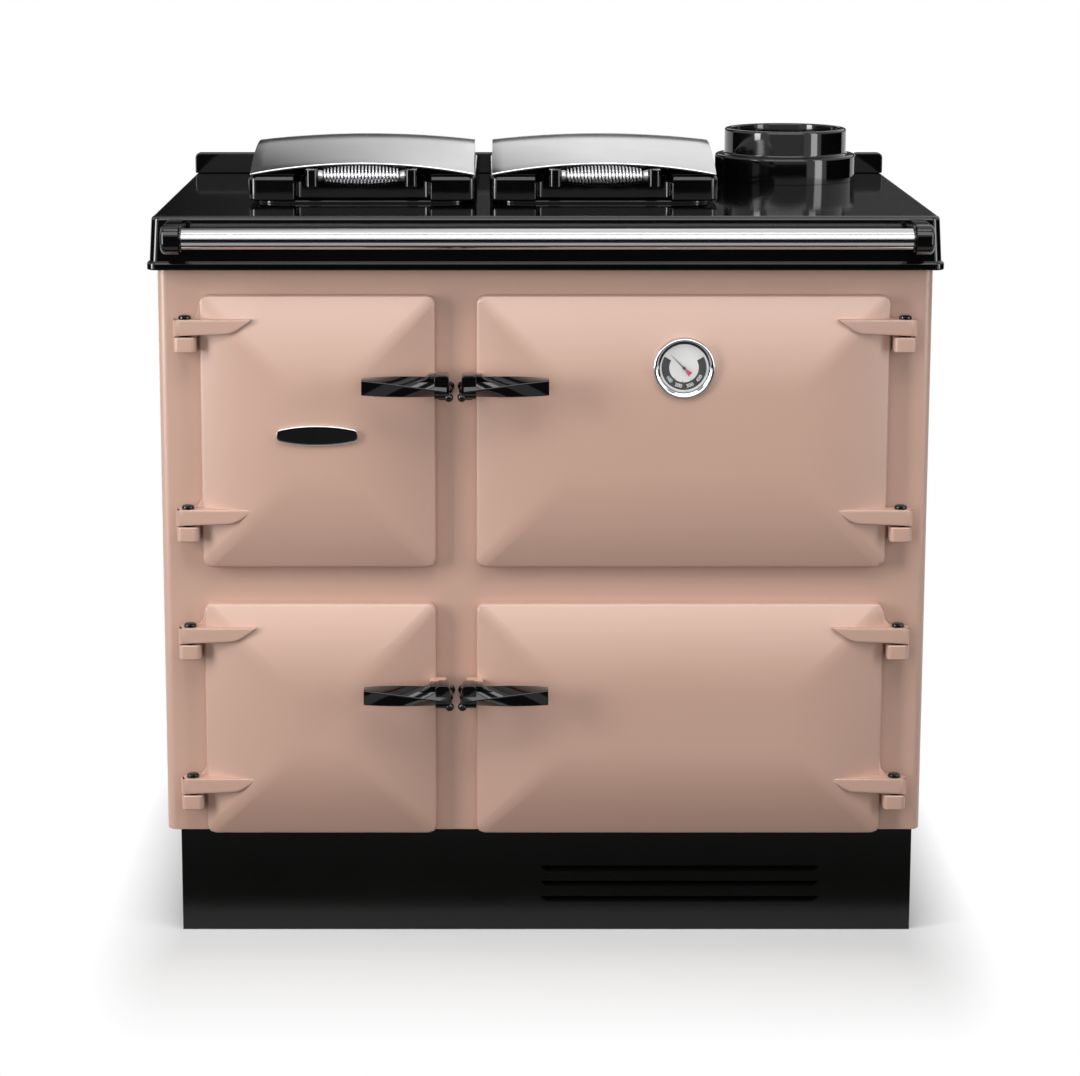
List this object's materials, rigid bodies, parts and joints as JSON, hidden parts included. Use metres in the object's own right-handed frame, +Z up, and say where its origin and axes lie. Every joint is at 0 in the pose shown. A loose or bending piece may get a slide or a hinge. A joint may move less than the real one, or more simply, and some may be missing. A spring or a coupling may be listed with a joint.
{
  "type": "cast iron range cooker",
  "caption": "Enamelled cast iron range cooker with hinged doors, domed hob lids with spring grips, a towel rail, a flue collar and a dial thermometer in the main oven door.",
  "frame": {"origin": "on the floor, under the middle of the cooker's bounding box", "axes": "+Z up, the longest extent; +Y from the doors to the back, the shortest extent; +X to the cook's right"},
  "size_m": [0.98, 0.673, 1.003],
  "materials": {
    "body_enamel": "satin vitreous enamel, pinkish beige, over cast iron",
    "black_enamel": "gloss black vitreous enamel over cast iron",
    "lid_casting": "gloss black enamel over an aluminium casting",
    "plinth_paint": "satin black paint on sheet steel",
    "cast_iron": "dark grey, as cast",
    "handle_black": "gloss black enamel",
    "rail_steel": "polished tube",
    "bright_steel": "polished",
    "bare_steel": "plain steel rod and pins",
    "dial_paint": "matt white printed plate",
    "needle_black": "dark pointer with a red tail",
    "dial_glass": "clear",
    "badge_black": "black with a bright rim, left bare"
  },
  "bodies": {
    "cooker": {"plinth": "plinth_paint", "base_plate": "cast_iron", "front_plate": "body_enamel", "side_panel_left": "body_enamel", "side_panel_right": "body_enamel", "back_panel": "cast_iron", "hob_plate": "black_enamel", "hotplate_left": "cast_iron", "hotplate_right": "cast_iron", "flue_collar": "black_enamel", "upstand_left": "black_enamel", "upstand_right": "black_enamel", "rail_tube": "rail_steel", "rail_bracket_left": "black_enamel", "rail_bracket_right": "black_enamel", "firebox": "cast_iron", "main_oven": "cast_iron", "lower_compartment": "cast_iron", "lower_oven": "cast_iron", "main_oven_shelf": "bare_steel", "lower_oven_shelf": "bare_steel", "latch_keep_upper_left": "handle_black", "latch_keep_upper_right": "handle_black", "latch_keep_lower_left": "handle_black", "latch_keep_lower_right": "handle_black", "hinge_pin_upper_left_top": "handle_black", "hinge_pin_upper_left_bottom": "handle_black", "hinge_pin_upper_right_top": "handle_black", "hinge_pin_upper_right_bottom": "handle_black", "hinge_pin_lower_left_top": "handle_black", "hinge_pin_lower_left_bottom": "handle_black", "hinge_pin_lower_right_top": "handle_black", "hinge_pin_lower_right_bottom": "handle_black", "lid_hinge_pin_left": "bare_steel", "lid_hinge_pin_right": "bare_steel"},
    "upper_left_door": {"door_upper_left": "body_enamel", "door_liner_upper_left": "cast_iron", "badge_plate": "badge_black"},
    "upper_right_door": {"door_upper_right": "body_enamel", "door_liner_upper_right": "cast_iron", "dial_bezel": "bright_steel", "dial_face": "dial_paint", "dial_glass": "dial_glass"},
    "lower_left_door": {"door_lower_left": "body_enamel", "door_liner_lower_left": "cast_iron"},
    "lower_right_door": {"door_lower_right": "body_enamel", "door_liner_lower_right": "cast_iron"},
    "upper_left_handle": {"door_handle_upper_left": "handle_black"},
    "upper_right_handle": {"door_handle_upper_right": "handle_black"},
    "lower_left_handle": {"door_handle_lower_left": "handle_black"},
    "lower_right_handle": {"door_handle_lower_right": "handle_black"},
    "needle": {"dial_needle": "needle_black"},
    "left_lid": {"lid_body_left": "lid_casting", "lid_dome_left": "bright_steel", "grip_rod_left": "bare_steel", "grip_coil_left": "bright_steel"},
    "right_lid": {"lid_body_right": "lid_casting", "lid_dome_right": "bright_steel", "grip_rod_right": "bare_steel", "grip_coil_right": "bright_steel"}
  },
  "joints": [
    {"name": "upper_left_door_hinge", "type": "hinge", "parent": "cooker", "child": "upper_left_door", "pos_m": [-0.444, -0.265, 0.658], "axis": [0, 0, -1], "range_deg": [0, 110]},
    {"name": "upper_right_door_hinge", "type": "hinge", "parent": "cooker", "child": "upper_right_door", "pos_m": [0.443, -0.265, 0.658], "axis": [0, 0, 1], "range_deg": [0, 110]},
    {"name": "lower_left_door_hinge", "type": "hinge", "parent": "cooker", "child": "lower_left_door", "pos_m": [-0.444, -0.265, 0.29], "axis": [0, 0, -1], "range_deg": [0, 110]},
    {"name": "lower_right_door_hinge", "type": "hinge", "parent": "cooker", "child": "lower_right_door", "pos_m": [0.443, -0.265, 0.29], "axis": [0, 0, 1], "range_deg": [0, 110]},
    {"name": "upper_left_handle_pivot", "type": "hinge", "parent": "upper_left_door", "child": "upper_left_handle", "pos_m": [-0.13, -0.28, 0.729], "axis": [0, 1, 0], "range_deg": [0, 30]},
    {"name": "upper_right_handle_pivot", "type": "hinge", "parent": "upper_right_door", "child": "upper_right_handle", "pos_m": [-0.091, -0.28, 0.729], "axis": [0, -1, 0], "range_deg": [0, 30]},
    {"name": "lower_left_handle_pivot", "type": "hinge", "parent": "lower_left_door", "child": "lower_left_handle", "pos_m": [-0.13, -0.28, 0.3395], "axis": [0, 1, 0], "range_deg": [0, 30]},
    {"name": "lower_right_handle_pivot", "type": "hinge", "parent": "lower_right_door", "child": "lower_right_handle", "pos_m": [-0.091, -0.28, 0.3395], "axis": [0, -1, 0], "range_deg": [0, 30]},
    {"name": "needle_spindle", "type": "hinge", "parent": "upper_right_door", "child": "needle", "pos_m": [0.1705, -0.28, 0.7425], "axis": [0, -1, 0], "range_deg": [0, 250]},
    {"name": "left_lid_hinge", "type": "hinge", "parent": "cooker", "child": "left_lid", "pos_m": [-0.2305, 0.2185, 0.945], "axis": [-1, 0, 0], "range_deg": [0, 90]},
    {"name": "right_lid_hinge", "type": "hinge", "parent": "cooker", "child": "right_lid", "pos_m": [0.0765, 0.2185, 0.945], "axis": [-1, 0, 0], "range_deg": [0, 90]}
  ]
}
